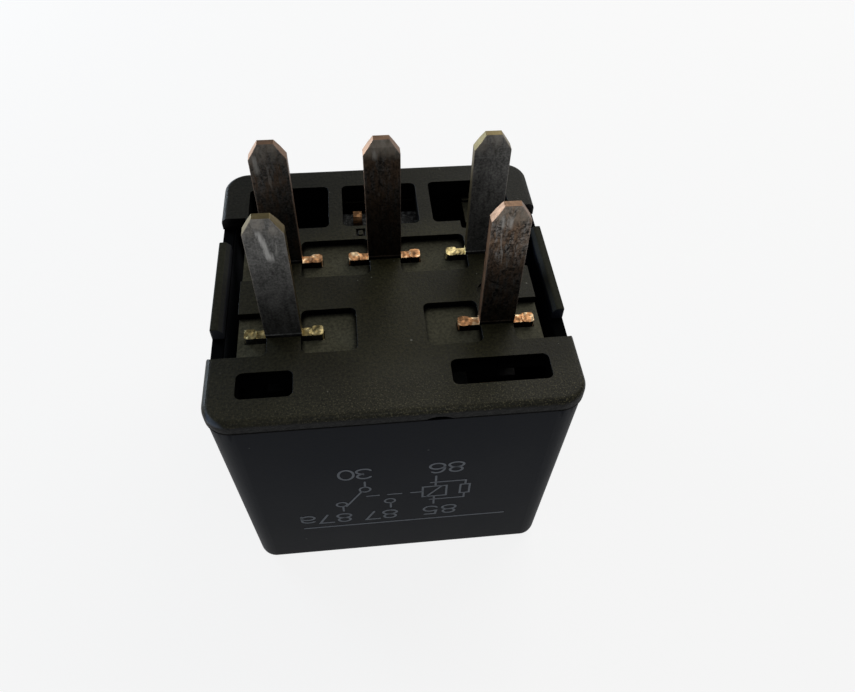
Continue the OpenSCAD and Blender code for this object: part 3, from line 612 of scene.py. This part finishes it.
# Strokes of the figures in a box 1 wide and 1 high, origin at its middle.
FIGURES = {
    "0": [arc(0, 0, 0.5, 0.5, 0, 360, 28)],
    "3": [arc(0, 0.25, 0.46, 0.25, 160, -90)
          + arc(0, -0.25, 0.5, 0.25, 90, -160)],
    "5": [[(0.42, 0.5), (-0.36, 0.5), (-0.42, 0.06)]
          + arc(0, -0.18, 0.5, 0.32, 130, -155)],
    "6": [arc(0, -0.2, 0.5, 0.3, 0, 360, 24),
          arc(0.02, 0.0, 0.52, 0.5, 190, 50)],
    "7": [[(-0.5, 0.5), (0.5, 0.5), (-0.12, -0.5)]],
    "8": [arc(0, 0.25, 0.43, 0.25, 0, 360, 22),
          arc(0, -0.25, 0.5, 0.25, 0, 360, 22)],
    "a": [arc(0, -0.26, 0.46, 0.24, 0, 360, 22),
          [(0.46, -0.5), (0.46, 0.12)] + arc(0, 0.1, 0.46, 0.22, 10, 150, 8)],
}
# Width and height of a figure in mm.
FIGURE_SIZE = (1.22, 1.6)
# Text, place of its first figure, and the pitch, in mm on the face.
LABELS = [
    ("30", (-2.92, 16.2), 1.46), ("86", (4.65, 16.2), 1.57),
    ("85", (4.4, 8.2), 1.66), ("87", (-0.92, 8.12), 1.53),
    ("87a", (-5.0, 8.14), 1.6),
]
# Radius in mm of the ring at each contact.
CONTACT_R = 0.45
# Lines of the circuit, in mm on the face: X to the right, Z upwards.
CIRCUIT = [
    arc(-2.95, 13.37, CONTACT_R, CONTACT_R, 0, 360, 20),
    [(-2.93, 13.85), (-2.92, 14.75)],
    [(-3.25, 13.02), (-4.66, 10.42)],
    arc(-5.05, 10.84, CONTACT_R, 0.4, 0, 360, 20),
    [(-4.97, 10.4), (-4.97, 9.5)],
    arc(-0.89, 10.84, CONTACT_R, 0.4, 0, 360, 20),
    [(-0.82, 10.4), (-0.82, 9.5)],
    [(-2.84, 12.08), (-1.82, 12.08)],
    [(-1.04, 12.08), (0.12, 12.08)],
    [(0.94, 12.08), (1.95, 12.08)],
    [(1.95, 11.1), (4.0, 11.1), (4.0, 12.95), (1.95, 12.95), (1.95, 11.1)],
    [(2.3, 11.1), (3.6, 12.95)],
    [(3.03, 12.95), (3.03, 14.8)],
    [(2.96, 11.1), (2.96, 9.6)],
    [(2.6, 13.68), (5.6, 13.68), (5.6, 12.9)],
    [(2.6, 10.45), (5.6, 10.45), (5.6, 11.3)],
    [(5.2, 11.3), (6.0, 11.3), (6.0, 12.9), (5.2, 12.9), (5.2, 11.3)],
]
# The rule below the circuit, and how much wider than its lines it is.
RULE = [(-8.7, 6.45), (9.6, 6.45)]
RULE_WEIGHT = 1.15


def front_of(node):
    """Makes a function that takes x and z in metres to the node's front."""
    mesh = NODES[node].data
    tree = BVHTree.FromPolygons([v.co for v in mesh.vertices],
                                [p.vertices for p in mesh.polygons])
    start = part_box(node)[0][1] - 10 * MM

    def find(x, z):
        hit = tree.ray_cast(Vector((x, start, z)), Vector((0, 1, 0)))
        return hit[0], hit[1]
    return find


def across(way):
    """Direction to the left of a way on the face."""
    return Vector((-way.y, way.x))


def rails_along(points, closed, width):
    """Left and right edge of a ribbon at each of its points."""
    count = len(points)
    rails = []
    for i, p in enumerate(points):
        before = points[(i - 1) % count] if closed or i else None
        after = points[(i + 1) % count] if closed or i < count - 1 else None
        into = (p - before).normalized() if before is not None else None
        out = (after - p).normalized() if after is not None else None
        side = across(((into or out) + (out or into)).normalized())
        lean = max(0.5, abs(side.dot(across(out or into))))
        rails.append((p + side * width / 2 / lean,
                      p - side * width / 2 / lean))
    return rails


def add_stroke(bm, points, width, find, lift):
    """Adds a ribbon of ink along points (mm on the face) with round ends."""
    pts = [Vector(p) * MM for p in points]
    closed = (pts[0] - pts[-1]).length < 1e-6
    if closed:
        pts = pts[:-1]
    rails = rails_along(pts, closed, width)

    def vert(q):
        point, normal = find(q.x, q.y)
        return bm.verts.new(point + normal * lift)

    pairs = [(vert(a), vert(b)) for a, b in rails]
    ahead = pairs[1:] + (pairs[:1] if closed else [])
    for (a, b), (c, d) in zip(pairs, ahead):
        bm.faces.new((a, c, d, b))
    if closed:
        return
    for end, other, (a, b) in ((pts[0], pts[1], pairs[0]),
                               (pts[-1], pts[-2], pairs[-1])):
        way = (end - other).normalized()
        side = across(way) * width / 2
        fan = [vert(end + way * width / 2 * math.sin(t) + side * math.cos(t))
               for t in (math.radians(k) for k in (45, 90, 135))]
        bm.faces.new([a, *fan, b] if (rails[0][0] - end).dot(side) > 0
                     else [b, *fan, a])


def figure_strokes():
    """Strokes of all the labels, in mm on the face; they stand upside down."""
    wide, high = FIGURE_SIZE
    for text, (x, z), pitch in LABELS:
        for i, letter in enumerate(text):
            for stroke in FIGURES[letter]:
                yield [(x - i * pitch - u * wide, z - v * high)
                       for u, v in stroke]


def print_ink(s):
    """Grey ink with slightly uneven cover."""
    f = Finish("print_ink")
    patch = f.noise(5.0, 3, 0.6)
    return f.done(Base_Color=f.tint(tuple(s.colour), 0.7 + patch * 0.6),
                  Roughness=0.55 + patch * 0.2,
                  Normal=f.bump(patch, 0.01, 0.3), Specular_IOR_Level=0.1)


class RELAY_OT_print(bpy.types.Operator):
    """Prints the circuit and its terminal numbers on the front of the cover"""
    bl_idname = "relay.print_circuit"
    bl_label = "Printed circuit"

    def execute(self, context):
        s = context.scene.relay_print
        find = front_of("cover")
        bm = bmesh.new()
        for line in CIRCUIT:
            add_stroke(bm, line, s.line, find, s.thickness)
        add_stroke(bm, RULE, s.line * RULE_WEIGHT, find, s.thickness)
        for stroke in figure_strokes():
            add_stroke(bm, stroke, s.stroke, find, s.thickness)
        bmesh.ops.recalc_face_normals(bm, faces=bm.faces)
        for face in bm.faces:
            if face.normal.y > 0:
                face.normal_flip()
        ink = add_piece(context, "circuit_print", bm, print_ink(s))
        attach(ink, BODY)
        return {"FINISHED"}


# ----------------------------------------------------------------- inside

# Distance in mm between the turns of the winding.
WIRE_PITCH = 0.16
# Place along X in mm and colour of each band, and half a band's width.
RESISTOR_BANDS = ((-1.5, (0.3, 0.12, 0.02)), (-0.7, (0.05, 0.02, 0.01)),
                  (0.1, (0.3, 0.02, 0.01)), (1.4, (0.45, 0.3, 0.08)))
BAND_HALF = 0.16
BOBBIN_DARK = (0.004, 0.004, 0.004)
BOBBIN_FLECK = (0.09, 0.092, 0.09)
COPPER_WIRE = (0.5, 0.2, 0.09)
IRON = (0.42, 0.42, 0.4)
BRONZE = (0.55, 0.27, 0.13)
SILVER = (0.72, 0.71, 0.68)
STEEL = (0.5, 0.48, 0.42)
LACQUER = (0.5, 0.38, 0.2)


def bobbin_plastic():
    """Dark plastic with pale flecks, which thin out towards the front."""
    f = Finish("bobbin_plastic")
    grain = f.noise(3.4, 3, 0.7).ease(0.42, 0.66)
    speckle = grain * grain * f.y.ease(2, 6, 0.05, 1.0)
    return f.done(
        Base_Color=f.mix(BOBBIN_DARK, BOBBIN_FLECK, speckle),
        Roughness=0.5 + grain * 0.2, Normal=f.bump(grain, 0.03, 0.4),
        Specular_IOR_Level=0.3)


def winding_copper():
    """Enamelled wire, with a ridge for each turn."""
    f = Finish("winding_copper")
    ridge = f.node("ShaderNodeMath", {"operation": "SINE"},
                   {0: f.z * (2 * math.pi / WIRE_PITCH)})
    tone = f.noise(0.8, 2)
    return f.done(
        Base_Color=f.tint(COPPER_WIRE, 0.7 + tone * 0.6),
        Metallic=1.0, Roughness=0.3 + tone * 0.15,
        Normal=f.bump(ridge * 0.5 + 0.5, 0.05, 0.8))


def plated_iron():
    """Brushed plate, with painted shade where it stands close to the front
    wall.
    """
    f = Finish("plated_iron")
    brush = f.noise(6.0, 3, 0.6, (1, 1, 0.15))
    return f.done(
        Base_Color=f.tint(IRON, (0.75 + brush * 0.5)
                          * f.y.ease(-9, -6, 0.35, 1.0)),
        Metallic=1.0, Roughness=0.35 + brush * 0.2,
        Normal=f.bump(brush, 0.02, 0.3))


def spring_alloy():
    """Bronze strip, brushed along its width."""
    f = Finish("spring_alloy")
    brush = f.noise(8.0, 3, 0.6, (0.15, 1, 1))
    return f.done(
        Base_Color=f.tint(BRONZE, 0.75 + brush * 0.5),
        Metallic=1.0, Roughness=0.3 + brush * 0.15,
        Normal=f.bump(brush, 0.01, 0.3))


def contact_silver():
    """Pale metal with fine pits from switching."""
    f = Finish("contact_silver")
    pit = f.noise(7.0, 3, 0.6)
    return f.done(
        Base_Color=f.tint(SILVER, 0.7 + pit * 0.5),
        Metallic=1.0, Roughness=0.25 + pit * 0.25,
        Normal=f.bump(pit, 0.02, 0.4))


def rivet_metal():
    """Plain bright metal of rivets and of tinned wire."""
    f = Finish("rivet_metal")
    pit = f.noise(6.0, 3, 0.6, seed=3)
    return f.done(
        Base_Color=f.tint(STEEL, 0.75 + pit * 0.5),
        Metallic=1.0, Roughness=0.3 + pit * 0.2,
        Normal=f.bump(pit, 0.02, 0.3))


def resistor_lacquer():
    """Tan lacquer with four colour bands across the body."""
    f = Finish("resistor_lacquer")
    colour = f.tint(LACQUER, 0.85 + f.noise(1.5) * 0.3)
    for at, band in RESISTOR_BANDS:
        colour = f.mix(colour, band, abs(f.x - at) < BAND_HALF)
    return f.done(
        Base_Color=colour, Roughness=0.35 + f.noise(3.0) * 0.15,
        Normal=f.bump(f.noise(4.0), 0.02, 0.2))


# Each finish of the inner parts and the CAD nodes that have it.
INSIDE = (
    (bobbin_plastic, ["bobbin"]),
    (winding_copper, ["winding", "coil_lead_left", "coil_lead_right"]),
    (plated_iron, ["core", "yoke", "armature"]),
    (spring_alloy, ["hinge_spring"]),
    (contact_silver, ["moving_contact", "contact_no", "contact_nc"]),
    (rivet_metal, ["yoke_rivet_upper", "yoke_rivet_lower",
                   "armature_rivet_front", "armature_rivet_back",
                   "resistor_lead_left", "resistor_lead_right"]),
    (resistor_lacquer, ["resistor"]),
)


class RELAY_OT_inside(bpy.types.Operator):
    """Gives the coil, yoke, armature and contacts their finishes"""
    bl_idname = "relay.inside"
    bl_label = "Inside"

    def execute(self, context):
        for finish, nodes in INSIDE:
            dress(nodes, finish())
        return {"FINISHED"}


# Heights in mm between which the spring's leaf bends as the armature turns,
# and into how many steps that stretch is cut.
BEND_Z = (6.2, 10.6)
BEND_STEPS = 8


class RELAY_OT_spring_leaf(bpy.types.Operator):
    """Cuts the spring into steps along the stretch where it bends between the
    yoke above and the armature below
    """
    bl_idname = "relay.spring_leaf"
    bl_label = "Spring leaf"

    def execute(self, context):
        spring = NODES["hinge_spring"].data
        low, high = BEND_Z
        bm = bmesh.new()
        bm.from_mesh(spring)
        for i in range(BEND_STEPS + 1):
            cut = Vector((0, 0, low + (high - low) * i / BEND_STEPS)) * MM
            bmesh.ops.bisect_plane(
                bm, geom=[*bm.verts, *bm.edges, *bm.faces],
                plane_co=cut, plane_no=(0, 0, 1))
        leaf = add_piece(context, "hinge_spring_leaf", bm,
                         spring.materials[0])
        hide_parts("hinge_spring")
        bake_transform(leaf)
        return {"FINISHED"}


# ------------------------------------------------------------------ stage

# The camera's place in mm, and its right, down and forward directions.
CAMERA_AT = (-1.97, -42.41, 67.91)
CAMERA_RIGHT = (0.9944, -0.1031, 0.0245)
CAMERA_DOWN = (-0.065, -0.7765, -0.6268)
CAMERA_AHEAD = (0.0836, 0.6216, -0.7788)
SKY_TINT = (0.92, 0.96, 1.0, 1.0)
FLOOR_SIZE = 1600
FLOOR_WHITE = (0.8, 0.8, 0.8)
# How much of the floor's look is its own white; lit paint is the rest.
FLOOR_GLOW = 0.86
# Name, place, target, size in mm, radiance and colour of each lamp.
LAMPS = (
    ("softbox", (105, 125, 155), (0, 0, 22), (190, 190), 1.9,
     (1.0, 0.98, 0.92)),
    ("window_strip", (-165, 140, 66), (0, 0, 24), (90, 40), 20.0,
     (0.72, 0.85, 1.0)),
    ("front_fill", (25, -125, 205), (0, 0, 22), (110, 80), 1.3,
     (0.9, 0.95, 1.0)),
)


def add_lamp(context, name, at, aim, size, radiance, colour):
    """Adds a flat lamp whose face has the given radiance."""
    data = bpy.data.lights.new(name, "AREA")
    data.shape = "RECTANGLE"
    data.size, data.size_y = (v * MM for v in size)
    data.energy = radiance * math.pi * data.size * data.size_y
    data.color = colour
    obj = bpy.data.objects.new(name, data)
    obj.location = Vector(at) * MM
    way = Vector(aim) * MM - obj.location
    obj.rotation_euler = way.to_track_quat("-Z", "Y").to_euler()
    context.collection.objects.link(obj)


def add_camera(context, lens):
    """Adds the camera in front of the relay and above it."""
    data = bpy.data.cameras.new("camera")
    data.sensor_width = 36
    data.lens = lens
    data.clip_start = MM
    camera = bpy.data.objects.new("camera", data)
    context.collection.objects.link(camera)
    turn = Matrix((CAMERA_RIGHT, -Vector(CAMERA_DOWN),
                   -Vector(CAMERA_AHEAD))).transposed().to_4x4()
    camera.matrix_world = Matrix.Translation(Vector(CAMERA_AT) * MM) @ turn
    context.scene.camera = camera


def add_sky(context, strength):
    """Adds even, slightly cool light from all around."""
    world = bpy.data.worlds.new("studio")
    context.scene.world = world
    world.use_nodes = True
    sky = world.node_tree.nodes["Background"]
    sky.inputs["Color"].default_value = SKY_TINT
    sky.inputs["Strength"].default_value = strength


def floor_white():
    """White to the eye and in reflections, plain paint to the lamps."""
    f = Finish("floor_white")
    seen = sum(f.node("ShaderNodeLightPath", out=ray) for ray in
               ("Is Camera Ray", "Is Glossy Ray", "Is Transmission Ray"))
    paint = f.node("ShaderNodeBsdfDiffuse", {}, {"Color": FLOOR_WHITE})
    glow = f.node("ShaderNodeEmission", {}, {"Color": (1, 1, 1)})
    return f.surface(f.node(
        "ShaderNodeMixShader", {},
        {0: seen.at_most(1.0) * FLOOR_GLOW, 1: paint, 2: glow}))


class RELAY_OT_stage(bpy.types.Operator):
    """Sets the camera, the lamps, the white surroundings and the floor"""
    bl_idname = "relay.stage"
    bl_label = "Stage"

    def execute(self, context):
        s = context.scene.relay_stage
        add_camera(context, s.lens)
        add_sky(context, s.sky)
        for name, at, aim, size, radiance, colour in LAMPS:
            add_lamp(context, name, at, aim, size, radiance * s.lamp, colour)
        bpy.ops.mesh.primitive_plane_add(size=FLOOR_SIZE * MM)
        floor = context.active_object
        floor.name = "floor"
        floor.data.materials.append(floor_white())
        return {"FINISHED"}


# ------------------------------------------------------- panel and set-up

class RELAY_PT_panel(bpy.types.Panel):
    """Lists the relay's pieces"""
    bl_label = "Relay"
    bl_idname = "RELAY_PT_panel"
    bl_space_type = "VIEW_3D"
    bl_region_type = "UI"
    bl_category = "Relay"

    def draw(self, context):
        for operator in OPERATORS:
            self.layout.operator(operator.bl_idname)
        for name in SETTINGS:
            group = getattr(context.scene, name)
            box = self.layout.box()
            for key in group.__annotations__:
                box.prop(group, key)


SETTINGS = {
    "relay_base": RelayBaseSettings,
    "relay_cover": RelayCoverSettings,
    "relay_blades": RelayBladeSettings,
    "relay_print": RelayPrintSettings,
    "relay_stage": RelayStageSettings,
}
OPERATORS = (RELAY_OT_stage, RELAY_OT_base, RELAY_OT_cover, RELAY_OT_blades,
             RELAY_OT_print, RELAY_OT_inside, RELAY_OT_spring_leaf)


def register():
    for group in SETTINGS.values():
        bpy.utils.register_class(group)
    for name, group in SETTINGS.items():
        setattr(bpy.types.Scene, name, PointerProperty(type=group))
    for operator in OPERATORS:
        bpy.utils.register_class(operator)
    bpy.utils.register_class(RELAY_PT_panel)


def unregister():
    bpy.utils.unregister_class(RELAY_PT_panel)
    for operator in reversed(OPERATORS):
        bpy.utils.unregister_class(operator)
    for name, group in SETTINGS.items():
        delattr(bpy.types.Scene, name)
        bpy.utils.unregister_class(group)


def main():
    register()
    bpy.context.scene.view_settings.view_transform = "Standard"
    for operator in OPERATORS:
        group, name = operator.bl_idname.split(".")
        getattr(getattr(bpy.ops, group), name)()


if __name__ == "__main__":
    main()
